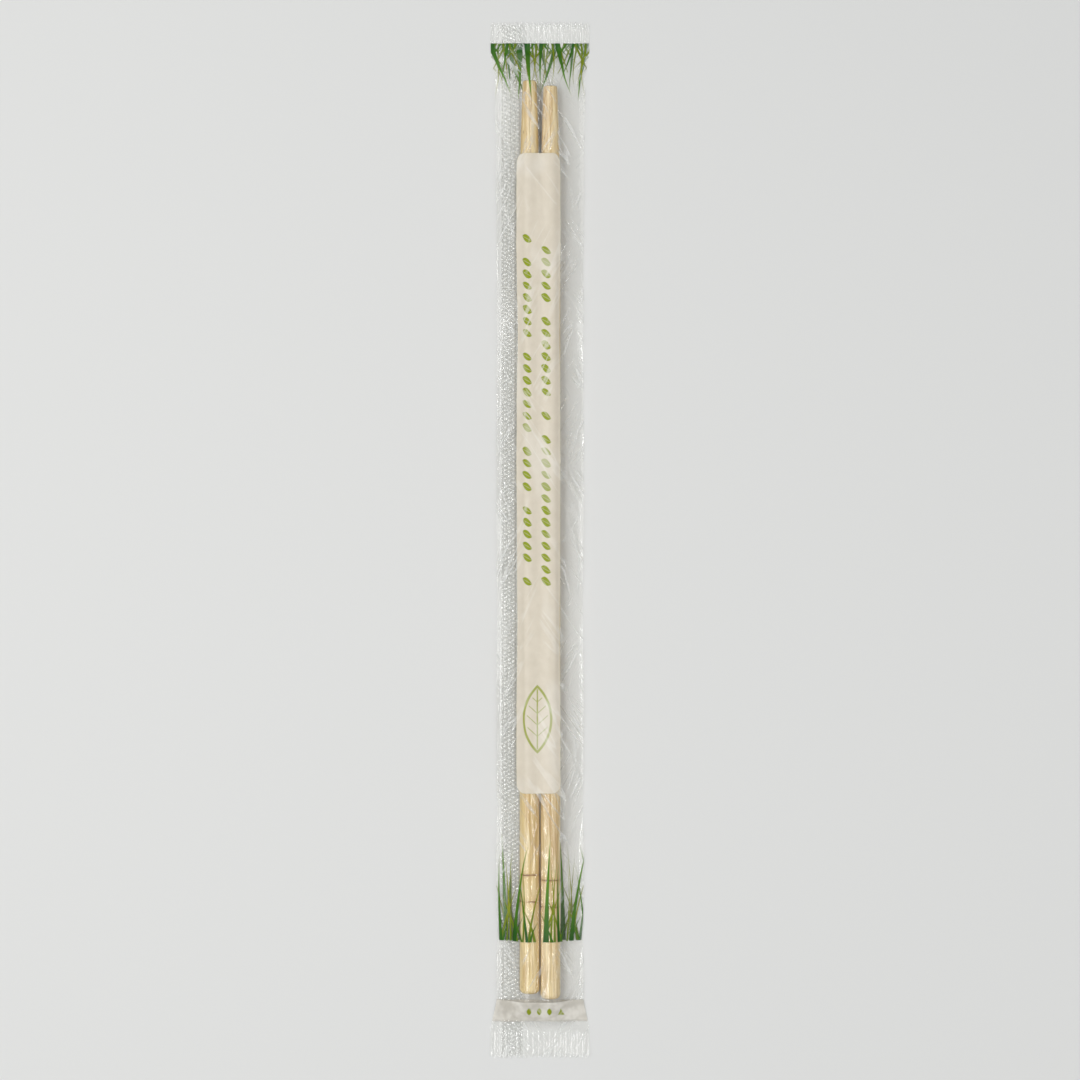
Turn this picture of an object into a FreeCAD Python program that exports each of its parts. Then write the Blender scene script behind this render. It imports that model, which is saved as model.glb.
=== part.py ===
"""One wrapped pair of round bamboo chopsticks.

Two turned bamboo sticks lie side by side in a flow-wrapped sleeve of clear film. The
sleeve is one web: folded round the pair, sealed along a fin that lies flat under it,
and sealed flat and cut to a zigzag at both ends.

Millimetres, Z up. The pair lies on z = 0 with its tips towards +Y, and the origin is
in the middle of the underside.
"""
import FreeCAD, Part
import math
import operator
import os

import Sketcher

# Driving sizes, one plain number each
SIZES = {
    "stick_length": 240.0,
    "stick_diameter": 5.2,
    "tip_diameter": 3.6,
    "taper_length": 38.0,
    "end_crown": 0.4,
    "end_rounding": 1.3,
    "tip_rounding": 0.35,
    "ring_distance": 24.4,
    "ring_spacing": 7.0,
    "ring_width": 0.45,
    "ring_depth": 0.12,
    "pair_gap": 0.25,
    "pair_stagger": 1.4,
    "film_thickness": 0.12,
    "film_slack": 0.1,
    "seat_clearance": 0.04,
    "waist_width": 24.6,
    "flat_width": 26.0,
    "fold_height": 0.34,
    "nose_space": 1.0,
    "end_space": 8.0,
    "seal_length": 8.0,
    "seal_thickness": 0.3,
    "seal_opening": 0.06,
    "tooth_count": 18,
    "tooth_depth": 0.9,
    "rib_width": 0.7,
    "rib_depth": 0.1,
    "fin_width": 5.6,
    "fin_offset": 4.6,
    "fin_thickness": 0.2,
    "fin_step": 0.5,
}
# Spans of the film over the sticks' taper, each one straight
TAPER_SPANS = 3
# How far an edge may lie from where it is looked for
EDGE_TOLERANCE = 1e-3
OPERATIONS = {"+": operator.add, "-": operator.sub, "*": operator.mul, "/": operator.truediv}


class Size:
    """A size worked out from the sheet: its value now and the expression that binds it."""

    def __init__(self, value, text):
        self.value = value
        self.text = text

    def __add__(self, other):
        return combined(self, "+", other)

    def __radd__(self, other):
        return combined(other, "+", self)

    def __sub__(self, other):
        return combined(self, "-", other)

    def __rsub__(self, other):
        return combined(other, "-", self)

    def __mul__(self, other):
        return combined(self, "*", other)

    def __truediv__(self, other):
        return combined(self, "/", other)

    def __neg__(self):
        return combined(0, "-", self)


def combined(first, sign, second):
    """The Size that two sizes or plain numbers make."""
    first, second = [s if isinstance(s, Size) else Size(s, str(s)) for s in (first, second)]
    value = OPERATIONS[sign](first.value, second.value)
    return Size(value, f"({first.text} {sign} {second.text})")


doc = FreeCAD.newDocument("wrapped_chopsticks")
sheet = doc.addObject("Spreadsheet::Sheet", "sizes")
for row, (alias, plain_size) in enumerate(SIZES.items(), start=1):
    sheet.set(f"A{row}", alias)
    sheet.set(f"B{row}", str(plain_size))
    sheet.setAlias(f"B{row}", alias)
doc.recompute()


def size(alias):
    """One driving size of the sheet."""
    return Size(float(sheet.get(alias)), f"sizes.{alias}")


# Sizes that several pieces share
STICK_RADIUS = size("stick_diameter") / 2
TIP_RADIUS = size("tip_diameter") / 2
STICK_ASIDE = STICK_RADIUS + size("pair_gap") / 2
STICK_HEIGHT = size("film_thickness") + size("seat_clearance") + STICK_RADIUS
PAIR_END = size("stick_length") / 2 + size("pair_stagger") / 2
TUBE_END = PAIR_END + size("end_space")
SLEEVE_END = TUBE_END + size("seal_length")
FLAT_HALF = size("flat_width") / 2
TOOTH_PITCH = size("flat_width") / size("tooth_count")


def plane_of(body, role):
    """One of the body's own origin planes."""
    return next(f for f in body.Origin.OriginFeatures if f.Role == role)


def new_sketch(body, name, role, lift=None):
    """A sketch on one of the body's origin planes, lifted along the plane's normal."""
    sketch = body.newObject("Sketcher::SketchObject", name)
    sketch.AttachmentSupport = [(plane_of(body, role), "")]
    sketch.MapMode = "FlatFace"
    if lift is not None:
        sketch.setExpression("AttachmentOffset.Base.z", lift.text)
    return sketch


def bind(sketch, kind, *references, to):
    """A dimension between the given points, bound to a size."""
    index = sketch.addConstraint(Sketcher.Constraint(kind, *references, to.value))
    name = f"{kind}{index}"
    sketch.renameConstraint(index, name)
    sketch.setExpression(f"Constraints.{name}", to.text)


def pin(sketch, edge, end, x, y):
    """Fixes one end of an edge at a place, each way from the sketch's origin."""
    for kind, axis, distance in (("DistanceX", -2, x), ("DistanceY", -1, y)):
        if not isinstance(distance, Size):
            sketch.addConstraint(Sketcher.Constraint("PointOnObject", edge, end, axis))
        elif distance.value < 0:
            bind(sketch, kind, edge, end, -1, 1, to=-distance)
        else:
            bind(sketch, kind, -1, 1, edge, end, to=distance)


def number(value):
    """The plain value of a size or of a bare zero."""
    return value.value if isinstance(value, Size) else float(value)


def vector(x, y):
    """A sketch point from sizes or bare zeros."""
    return FreeCAD.Vector(number(x), number(y), 0)


def polygon(sketch, points):
    """A closed outline of straight edges with every corner pinned."""
    for here, there in zip(points, points[1:] + points[:1]):
        sketch.addGeometry(Part.LineSegment(vector(*here), vector(*there)))
    for edge, (x, y) in enumerate(points):
        before = (edge - 1) % len(points)
        pin(sketch, edge, 1, x, y)
        sketch.addConstraint(Sketcher.Constraint("Coincident", before, 2, edge, 1))


def stick_profile(body):
    """Half the stick's outline, from the crowned thick end to the flat tip."""
    sketch = new_sketch(body, "StickProfile", "XY_Plane")
    half = size("stick_length") / 2
    crown = size("end_crown")
    taper_start = half - size("taper_length")
    radius, drop = STICK_RADIUS.value, (STICK_RADIUS - TIP_RADIUS).value
    crown_radius = (radius**2 + crown.value**2) / (2 * crown.value)
    taper_radius = (size("taper_length").value ** 2 + drop**2) / (2 * drop)
    thick_end, tip_end = vector(0, -half), vector(0, half)
    shoulder, neck = vector(STICK_RADIUS, crown - half), vector(STICK_RADIUS, taper_start)
    tip = vector(TIP_RADIUS, half)
    normal = FreeCAD.Vector(0, 0, 1)
    crown_middle = thick_end + FreeCAD.Vector(0, crown_radius, 0)
    taper_middle = neck - FreeCAD.Vector(taper_radius, 0, 0)
    crown_circle = Part.Circle(crown_middle, normal, crown_radius)
    taper_circle = Part.Circle(taper_middle, normal, taper_radius)
    down = -math.pi / 2
    sketch.addGeometry([
        Part.ArcOfCircle(crown_circle, down, down + math.asin(radius / crown_radius)),
        Part.LineSegment(shoulder, neck),
        Part.ArcOfCircle(taper_circle, 0, math.asin(size("taper_length").value / taper_radius)),
        Part.LineSegment(tip, tip_end),
        Part.LineSegment(tip_end, thick_end),
    ])
    for edge in range(5):
        if edge != 1:
            sketch.addConstraint(Sketcher.Constraint("Coincident", edge, 2, (edge + 1) % 5, 1))
    sketch.addConstraint(Sketcher.Constraint("Tangent", 1, 2, 2, 1))
    sketch.addConstraint(Sketcher.Constraint("PointOnObject", 0, 3, -2))
    pin(sketch, 0, 1, 0, -half)
    pin(sketch, 1, 1, STICK_RADIUS, crown - half)
    pin(sketch, 1, 2, STICK_RADIUS, taper_start)
    pin(sketch, 3, 1, TIP_RADIUS, half)
    pin(sketch, 4, 1, 0, half)
    return sketch


def ring_profile(body):
    """The small notch that turns into a ring round the stick, near the thick end."""
    sketch = new_sketch(body, "RingProfile", "XY_Plane")
    middle = size("ring_distance") - size("stick_length") / 2
    half_width = size("ring_width") / 2
    outside = STICK_RADIUS + size("ring_depth")
    bottom = STICK_RADIUS - size("ring_depth")
    polygon(sketch, [(outside, middle - half_width), (outside, middle + half_width), (bottom, middle)])
    return sketch


def round_edges(body, base, name, radius, along, edge_radius):
    """A fillet on the circular edge at a place along Y."""
    for index, edge in enumerate(base.Shape.Edges, start=1):
        box = edge.BoundBox
        level = box.YLength < EDGE_TOLERANCE and abs(box.YMax - along.value) < EDGE_TOLERANCE
        if level and abs(box.XMax - edge_radius.value) < EDGE_TOLERANCE:
            fillet = body.newObject("PartDesign::Fillet", name)
            fillet.Base = (base, [f"Edge{index}"])
            fillet.setExpression("Radius", radius.text)
            doc.recompute()
            return fillet
    raise ValueError(f"no edge for {name}")


def chopstick(name, side, shift):
    """A turned stick with a crowned end, a slim tip and two burnt rings."""
    body = doc.addObject("PartDesign::Body", name)
    body.Label = name
    half = size("stick_length") / 2

    turned = body.newObject("PartDesign::Revolution", "Turned")
    turned.Profile = stick_profile(body)
    turned.ReferenceAxis = (turned.Profile[0], ["V_Axis"])
    turned.Angle = 360
    doc.recompute()

    shoulder = size("end_crown") - half
    rounded = round_edges(body, turned, "EndRounding", size("end_rounding"), shoulder, STICK_RADIUS)
    rounded = round_edges(body, rounded, "TipRounding", size("tip_rounding"), half, TIP_RADIUS)
    plain_volume = rounded.Shape.Volume

    ring = body.newObject("PartDesign::Groove", "Ring")
    ring.Profile = ring_profile(body)
    ring.ReferenceAxis = (ring.Profile[0], ["V_Axis"])
    ring.Angle = 360
    rings = body.newObject("PartDesign::LinearPattern", "Rings")
    rings.Originals = [ring]
    rings.Direction = (ring.Profile[0], ["V_Axis"])
    rings.setExpression("Length", size("ring_spacing").text)
    rings.Occurrences = 2
    body.Tip = rings
    body.setExpression("Placement.Base.x", (STICK_ASIDE * side).text)
    body.setExpression("Placement.Base.y", (size("pair_stagger") * shift / 2).text)
    body.setExpression("Placement.Base.z", STICK_HEIGHT.text)
    doc.recompute()
    if not body.Shape.Volume < plain_volume:
        raise ValueError(f"the rings of {name} cut nothing")
    return body


def tube_section(body, name, along, half_width, base, fold, step, height, radius):
    """The sleeve's outline across the pair, seen along it.

    The film lies flat, steps over the fin, folds up at both sides, slopes up to the
    sticks and runs over them in two arcs with a level stretch between.
    """
    sketch = new_sketch(body, name, "XZ_Plane", lift=-along)
    fin_in, fin_out = size("fin_offset"), size("fin_offset") + size("fin_width")
    over_fin = step if number(base) == 0 else base + step
    corners = [
        (-half_width, base),
        (-fin_out - size("fin_step"), base),
        (-fin_out, over_fin),
        (-fin_in, over_fin),
        (size("fin_step") - fin_in, base),
        (half_width, base),
        (half_width, base + fold),
    ]
    left_fold = (-half_width, base + fold)

    aside, rise = STICK_ASIDE.value, number(height)
    fold_place = vector(half_width, base + fold)
    reach_x, reach_y = fold_place.x - aside, fold_place.y - rise
    reach = math.hypot(reach_x, reach_y)
    touch = math.atan2(reach_y, reach_x) + math.acos(radius.value / reach)
    top = math.pi / 2
    normal = FreeCAD.Vector(0, 0, 1)
    right_circle = Part.Circle(FreeCAD.Vector(aside, rise, 0), normal, radius.value)
    left_circle = Part.Circle(FreeCAD.Vector(-aside, rise, 0), normal, radius.value)
    right = Part.ArcOfCircle(right_circle, touch, top)
    left = Part.ArcOfCircle(left_circle, top, math.pi - touch)

    for here, there in zip(corners, corners[1:]):
        sketch.addGeometry(Part.LineSegment(vector(*here), vector(*there)))
    sketch.addGeometry([
        Part.LineSegment(fold_place, right.StartPoint),
        right,
        Part.LineSegment(right.EndPoint, left.StartPoint),
        left,
        Part.LineSegment(left.EndPoint, vector(*left_fold)),
        Part.LineSegment(vector(*left_fold), vector(*corners[0])),
    ])
    slope, right_arc, level, left_arc, left_slope, left_side = range(6, 12)
    for edge in (0, 1, 2, 3, 4, 5, left_slope, left_side):
        sketch.addConstraint(Sketcher.Constraint("Coincident", edge, 2, (edge + 1) % 12, 1))
    for edge in (slope, right_arc, level, left_arc):
        sketch.addConstraint(Sketcher.Constraint("Tangent", edge, 2, edge + 1, 1))
    for edge, (x, y) in enumerate(corners):
        pin(sketch, edge, 1, x, y)
    pin(sketch, left_side, 1, *left_fold)
    pin(sketch, right_arc, 3, STICK_ASIDE, height)
    pin(sketch, left_arc, 3, -STICK_ASIDE, height)
    bind(sketch, "Radius", right_arc, to=radius)
    bind(sketch, "Radius", left_arc, to=radius)
    return sketch


def tube_sections(body, side, inset):
    """The outlines of one face of the film, from the thick end's seal to the tips' seal.

    inset is how far the face lies inside the outer one.
    """
    reach = size("film_slack") + size("film_thickness") - inset
    waist, flat = size("waist_width") / 2 - inset, FLAT_HALF - inset
    tip_half = (size("waist_width") + size("flat_width")) / 4 - inset
    fold = size("fold_height") - inset - inset
    flat_fold = size("seal_thickness") - size("seal_opening") / 2 - inset - inset
    flat_height = size("seal_thickness") - size("film_slack") - size("film_thickness")
    step, no_step = size("fin_thickness"), size("fin_thickness") * 0
    nose = PAIR_END + size("nose_space")
    drop = STICK_RADIUS - TIP_RADIUS
    over_pair = [(-nose, waist, STICK_RADIUS)]
    for span in range(TAPER_SPANS):
        share = span / TAPER_SPANS
        along = size("stick_length") / 2 - size("taper_length") * (1 - share)
        over_pair.append((along, waist + (tip_half - waist) * share, STICK_RADIUS - drop * share**2))
    over_pair.append((nose, tip_half, TIP_RADIUS))

    places = [(-TUBE_END, flat, flat_fold, no_step, flat_height, reach)]
    for along, half_width, radius in over_pair:
        places.append((along, half_width, fold, step, STICK_HEIGHT, radius + reach))
    places.append((TUBE_END, flat, flat_fold, no_step, flat_height, reach))
    base = inset if isinstance(inset, Size) else 0
    return [
        tube_section(body, f"{side}{index}", along, half_width, base, fold_here, step_here, height, radius)
        for index, (along, half_width, fold_here, step_here, height, radius) in enumerate(places, start=1)
    ]


def film_tube(body):
    """The web folded round the pair: an outer loft with an inner one taken out."""
    outer = tube_sections(body, "Outer", 0)
    shell = body.newObject("PartDesign::AdditiveLoft", "Shell")
    shell.Profile = outer[0]
    shell.Sections = outer[1:]
    shell.Ruled = True
    doc.recompute()
    inner = tube_sections(body, "Inner", size("film_thickness"))
    hollow = body.newObject("PartDesign::SubtractiveLoft", "Hollow")
    hollow.Profile = inner[0]
    hollow.Sections = inner[1:]
    hollow.Ruled = True
    doc.recompute()


def flat_strip(body, name, outline, thickness):
    """A flat layer of sealed film on the floor side."""
    sketch = new_sketch(body, name + "Outline", "XY_Plane")
    polygon(sketch, outline)
    strip = body.newObject("PartDesign::Pad", name)
    strip.Profile = sketch
    strip.setExpression("Length", thickness.text)
    doc.recompute()


def film_seals(body):
    """The fin seal, folded flat under the pair, and the flat seals of both ends."""
    fin_in, fin_out = size("fin_offset"), size("fin_offset") + size("fin_width")
    flat_strip(body, "FinSeal", [
        (-fin_out, -SLEEVE_END), (-fin_in, -SLEEVE_END), (-fin_in, SLEEVE_END), (-fin_out, SLEEVE_END),
    ], size("fin_thickness"))
    ends = (("ThickEndSeal", -TUBE_END, -SLEEVE_END), ("TipEndSeal", TUBE_END, SLEEVE_END))
    for name, near, far in ends:
        flat_strip(body, name, [
            (-FLAT_HALF, near), (FLAT_HALF, near), (FLAT_HALF, far), (-FLAT_HALF, far),
        ], size("seal_thickness"))


def repeated(body, name, cuts, sketch):
    """The cuts once for every tooth across the sleeve."""
    pattern = body.newObject("PartDesign::LinearPattern", name)
    pattern.Originals = cuts
    pattern.Direction = (sketch, ["H_Axis"])
    pattern.setExpression("Length", (size("flat_width") - TOOTH_PITCH).text)
    pattern.setExpression("Occurrences", size("tooth_count").text)
    body.Tip = pattern
    doc.recompute()


def zigzag_cuts(body):
    """The zigzag that both ends are cut to."""
    sketch = new_sketch(body, "ZigzagOutline", "XY_Plane")
    first, last = -FLAT_HALF, TOOTH_PITCH - FLAT_HALF
    middle = TOOTH_PITCH / 2 - FLAT_HALF
    depth = size("tooth_depth")
    corners = []
    for end, way in ((SLEEVE_END, 1), (-SLEEVE_END, -1)):
        corners += [(first, end), (last, end), (middle, end - depth * way)]
    for start in (0, 3):
        for here, there in ((0, 1), (1, 2), (2, 0)):
            begin, finish = corners[start + here], corners[start + there]
            sketch.addGeometry(Part.LineSegment(vector(*begin), vector(*finish)))
        for corner in range(3):
            edge = start + corner
            pin(sketch, edge, 1, *corners[edge])
            sketch.addConstraint(Sketcher.Constraint("Coincident", edge, 2, start + (corner + 1) % 3, 1))
    cut = body.newObject("PartDesign::Pocket", "ZigzagCut")
    cut.Profile = sketch
    cut.Type = "ThroughAll"
    cut.Midplane = True
    doc.recompute()
    repeated(body, "Zigzag", [cut], sketch)


def seal_ribs(body):
    """The ribs that the hot jaws press along both end seals."""
    cuts = []
    middle = TOOTH_PITCH / 2 - FLAT_HALF
    half_width, top = size("rib_width") / 2, size("seal_thickness")
    jaws = (("ThickEndRib", TUBE_END, True), ("TipEndRib", -TUBE_END, False))
    for name, lift, backwards in jaws:
        sketch = new_sketch(body, name + "Profile", "XZ_Plane", lift=lift)
        bottom = top - size("rib_depth")
        polygon(sketch, [(middle - half_width, top), (middle + half_width, top), (middle, bottom)])
        cut = body.newObject("PartDesign::Pocket", name)
        cut.Profile = sketch
        cut.setExpression("Length", size("seal_length").text)
        cut.Reversed = backwards
        doc.recompute()
        cuts.append(cut)
    repeated(body, "Ribs", cuts, cuts[0].Profile[0])


def film_sleeve(name):
    """The clear sleeve: a tube round the pair, its fin seal and its two end seals."""
    body = doc.addObject("PartDesign::Body", name)
    body.Label = name
    film_tube(body)
    film_seals(body)
    for cutting in (zigzag_cuts, seal_ribs):
        before = body.Shape.Volume
        cutting(body)
        if not body.Shape.Volume < before:
            raise ValueError(f"{cutting.__name__} cut nothing")
    return body


pieces = [
    chopstick("chopstick_left", -1, 1),
    chopstick("chopstick_right", 1, -1),
    film_sleeve("film_sleeve"),
]
doc.recompute()

faults = [o.Name for o in doc.Objects if "Invalid" in o.State or "Error" in o.State]
for piece in pieces:
    if piece.Shape.isNull() or not piece.Shape.isValid():
        faults.append(piece.Label)
if faults:
    raise ValueError(f"failed: {faults}")

os.makedirs("parts", exist_ok=True)
for piece in pieces:
    piece.Shape.exportStep(f"parts/{piece.Label}.step")
    box = piece.Shape.BoundBox
    print(piece.Label, len(piece.Shape.Solids), round(piece.Shape.Volume, 1), box)
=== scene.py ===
"""A wrapped pair of round bamboo chopsticks: bamboo, clear film, print, floor and light.

Metres, Z up, in the frame of the solids: the pair lies on z = 0 with its tips towards +Y.
"""
import math
import random
from types import SimpleNamespace

import bpy
import numpy as np
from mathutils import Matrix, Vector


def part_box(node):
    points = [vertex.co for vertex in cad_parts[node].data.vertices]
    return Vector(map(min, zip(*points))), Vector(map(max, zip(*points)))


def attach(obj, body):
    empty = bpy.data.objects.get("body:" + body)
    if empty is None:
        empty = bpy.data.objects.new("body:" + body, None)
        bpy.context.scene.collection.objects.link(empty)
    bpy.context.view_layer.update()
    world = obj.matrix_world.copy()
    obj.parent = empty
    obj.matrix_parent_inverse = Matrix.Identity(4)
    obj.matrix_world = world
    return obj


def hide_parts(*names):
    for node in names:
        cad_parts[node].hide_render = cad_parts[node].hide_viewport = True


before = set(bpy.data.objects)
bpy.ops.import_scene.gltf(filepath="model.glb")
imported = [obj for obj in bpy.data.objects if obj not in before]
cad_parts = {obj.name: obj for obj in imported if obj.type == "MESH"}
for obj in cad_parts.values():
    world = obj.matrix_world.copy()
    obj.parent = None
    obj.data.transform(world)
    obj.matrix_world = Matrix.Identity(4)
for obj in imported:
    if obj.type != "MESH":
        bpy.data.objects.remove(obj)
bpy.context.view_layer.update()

MM = 0.001

# Sticks, measured from their thick end
STICK_LENGTH = 240 * MM
STICK_RADIUS = 2.6 * MM
TIP_RADIUS = 1.8 * MM
TAPER_LENGTH = 38 * MM
TAPER_START = STICK_LENGTH - TAPER_LENGTH
END_CROWN = 0.4 * MM
END_ROUNDING = 1.3 * MM
TIP_ROUNDING = 0.35 * MM
STICK_SIDES = 96

# Burnt rings: their places, their groove, and its section in half widths and shares of depth
RING_PLACES = (24.4 * MM, 31.4 * MM)
RING_WIDTH = 0.45 * MM
RING_DEPTH = 0.12 * MM
RING_SECTION = ((-1.6, 0), (-1, 0.04), (-0.45, 0.75), (0, 1), (0.45, 0.75), (1, 0.04), (1.6, 0))

# Bamboo as it shows on a screen: straw, cream and tan of each stick, then what both share
LEFT_TONES = ((208, 180, 116), (238, 219, 170), (184, 149, 90))
RIGHT_TONES = ((204, 176, 121), (234, 215, 170), (184, 151, 100))
BUNDLE_TONE = (168, 130, 74)
PALE_FIBRE_TONE = (248, 234, 194)
SPECK_TONE = (120, 78, 40)
STAIN_TONE = (186, 140, 70)
BURN_TONE = (118, 70, 14)
PORE_TONE = (150, 108, 62)

# Film sleeve: the web's grid, its first column lies on the back and ROOT_COLUMN at the left fold
FRONT_COLUMNS = 72
COLUMNS = 2 * FRONT_COLUMNS
ROOT_COLUMN = 23
TUBE_ROWS = 430
SEAL_ROWS = 8
SEAL_LENGTH = 8 * MM
TOOTH_COLUMNS = 4
TOOTH_DEPTH = 0.9 * MM
RIB_HEIGHT = 0.13 * MM
SEAL_CURL = 0.5 * MM
NOSE_SPACE = 0.8 * MM
FILM_GAP = 0.16 * MM
LEAST_FILM_GAP = 0.07 * MM
FLOOR_GAP = 0.05 * MM
LAYER_GAP = 0.08 * MM
WELD_REACH = 0.002 * MM
FIRST_HALF_WIDTH = 0.945
FIT_ROUNDS = 6
# Points of the film's section on one side: fold to stick, over the stick, and to the middle
SLOPE_POINTS, ARC_POINTS, BRIDGE_POINTS = 24, 16, 8
# Slack of the film in millimetres: its mean, its swing, the swing's period, and a seed
SAG = (0.35, 0.4, 71, 1)
DIP = (0.45, 0.25, 53, 2)
FOLD_LIFT = (0.35, 0.2, 47, 3)

# Fin: two edges of the web, knurled and folded flat under the pair
FIN_EDGES = (-10.2 * MM, -4.6 * MM)
FIN_LIFT = 0.22 * MM
FIN_COLUMNS = 20
FIN_FILM = 0.07 * MM
FIN_FLOOR_GAP = 0.005 * MM
KNOB_STEPS = 4
KNURL_PITCH = 1.13 * MM
KNURL_HEIGHT = 0.17 * MM

# Creases: count, slant in degrees, then length, width and height in millimetres
CREASE_KINDS = (
    (130, (12, 55), (6, 26), (0.22, 0.5), (0.06, 0.3)),
    (60, (0, 6), (15, 60), (0.3, 0.8), (0.04, 0.14)),
    (130, (0, 90), (1.5, 5), (0.2, 0.45), (0.05, 0.2)),
    (18, (15, 60), (9, 20), (0.3, 0.5), (0.3, 0.6)),
)
# How far a stick under the film flattens creases, and across what width
STICK_HOLD, STICK_HOLD_WIDTH = 0.72, 2.4 * MM
# Over what distance creases die out towards the folds and the seals
FOLD_MARGIN, SEAL_MARGIN = 1.5 * MM, 1.0 * MM
# Pleats at each end: their number, width, and the fan's half widths at the seal and at its start
END_PLEATS = 15
PLEAT_WIDTH = 0.32 * MM
PLEAT_FAN, PLEAT_START = 11, 5 * MM

# Print, across the film from the middle of the front and along it from the sleeve's middle
WEB_WIDTH = 52 * MM
FIN_PRINT_SHIFT = 32 * MM
PANEL_MIDDLE = -0.5 * MM
PANEL_WIDTH = 12.5 * MM
PANEL_ENDS = (-66.5 * MM, 101.5 * MM)
PANEL_CORNER = 2.4 * MM
# Each line of small leaves: its middle, its ends and the seed of its gaps
LEAF_LINES = (
    (PANEL_MIDDLE - 3.0 * MM, (-19 * MM, 86 * MM), 1),
    (PANEL_MIDDLE + 2.1 * MM, (-12 * MM, 78 * MM), 5),
)
LARGE_LEAF = (PANEL_MIDDLE - 0.2 * MM, -47 * MM)
BAND_ENDS = (-126.7 * MM, -121.2 * MM)
BAND_MIDDLE = (BAND_ENDS[0] + BAND_ENDS[1]) / 2
BAND_LEAVES = (-2.9 * MM, -0.2 * MM, 2.5 * MM)
BAND_TRIANGLE = 5.7 * MM
GRASS_FOOT = -105.5 * MM
TIP_GRASS_FOOT = 131 * MM
GRASS_HEIGHT = 27 * MM
TIP_GRASS_SHORTER = 1.8
TIP_GRASS_SHIFT = 5 * MM

# Grass blades in millimetres: foot, height and width, then lean and bend as shares of height
TALL_BLADES = (
    (1.6, 27, 1.6, 0.02, 0.02),
    (5.4, 22, 1.0, -0.06, 0.05),
    (9.6, 25, 1.4, 0.08, 0.1),
    (13.8, 19, 0.8, -0.1, -0.06),
)
THIN_BLADES = (
    (1.1, 16, 0.8, 0.22, 0.15),
    (2.9, 24, 0.55, 0.04, 0.04),
    (4.0, 21, 0.65, 0.0, -0.06),
    (6.3, 13, 0.9, -0.3, -0.1),
    (8.2, 20, 0.6, 0.1, -0.1),
    (9.9, 18, 0.7, 0.12, 0.12),
    (11.6, 10, 0.8, -0.15, -0.25),
)
SHORT_BLADES = (
    (1.0, 7, 0.7, 0.25, 0.2),
    (3.4, 9, 0.6, -0.35, -0.1),
    (6.1, 5.5, 0.7, 0.1, 0.3),
)
# Each row's blades, its repeat in millimetres, and its tones at the foot and at the top
GRASS_ROWS = (
    (THIN_BLADES, 13.0, (78, 104, 0), (160, 160, 24)),
    (SHORT_BLADES, 8.67, (40, 90, 0), (104, 140, 8)),
    (TALL_BLADES, 17.33, (10, 70, 0), (92, 142, 4)),
)
PANEL_TONES = ((209, 198, 179), (222, 212, 194))
FROST_TONES = ((206, 200, 188), (226, 221, 211))
LEAF_TONE = (134, 147, 0)
OUTLINE_TONE = (146, 156, 36)
# Painted glare: the whitish tone laid over the panel where a lamp's reflection would veil the
# print
GLARE_TONE = (243, 240, 232)
# Milky white of the film, also laid on as painted highlight at creases and as painted glints on
# the fin's knobs
MILKY_AND_GLINT_TONE = (240, 240, 236)
# How sharply ink ends, in shares of ink to a millimetre, and half the blur of longer edges
INK_SHARPNESS = 9
EDGE_BLUR = 0.06 * MM

# Floor, backdrop and the light of the sky
FLOOR_TONE = (214, 213, 210)
BACKDROP = (0.745, 0.75, 0.74, 1)
SKY_LIGHT = (0.36, 0.38, 0.4, 1)
FLOOR_SIZE = 4
FLOOR_FADE = (0.25, 0.75)

# Camera: the height of what it sees, its lens and its sensor in millimetres
VIEW_HEIGHT = 285 * MM
LENS = 100
SENSOR = 36

random.seed(7)


def colour(red, green, blue):
    """A colour written as it shows on a screen, 0 to 255, turned to the shader's scale."""
    shares = [c / 255 for c in (red, green, blue)]
    return (*[s / 12.92 if s <= 0.04045 else ((s + 0.055) / 1.055) ** 2.4 for s in shares], 1)


class Value:
    """An output on a node sheet. Arithmetic on it adds Math nodes."""

    def __init__(self, sheet, socket):
        self.sheet = sheet
        self.socket = socket

    def math(self, operation, *values):
        settings = {"operation": operation}
        return self.sheet.add("ShaderNodeMath", settings, dict(enumerate(values)))

    def __add__(self, other):
        return self.math("ADD", self, other)

    def __sub__(self, other):
        return self.math("SUBTRACT", self, other)

    def __rsub__(self, other):
        return self.math("SUBTRACT", other, self)

    def __mul__(self, other):
        return self.math("MULTIPLY", self, other)

    def __truediv__(self, other):
        return self.math("DIVIDE", self, other)

    def __pow__(self, other):
        return self.math("POWER", self, other)

    def __abs__(self):
        return self.math("ABSOLUTE", self)

    __radd__ = __add__
    __rmul__ = __mul__

    def floor(self):
        return self.math("FLOOR", self)

    def wrapped(self, span):
        """The value folded into 0 to span."""
        return self.math("WRAP", self, 0, span)

    def above(self, limit):
        return self.math("GREATER_THAN", self, limit)

    def larger(self, other):
        return self.math("MAXIMUM", self, other)

    def smaller(self, other):
        return self.math("MINIMUM", self, other)

    def ramp(self, start, end):
        """0 at start and 1 at end, smooth between and level beyond."""
        settings = {"interpolation_type": "SMOOTHSTEP"}
        return self.sheet.add("ShaderNodeMapRange", settings, {0: self, 1: start, 2: end})


def largest(values):
    """The largest of several values."""
    top, *others = values
    for other in others:
        top = top.larger(other)
    return top


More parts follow.
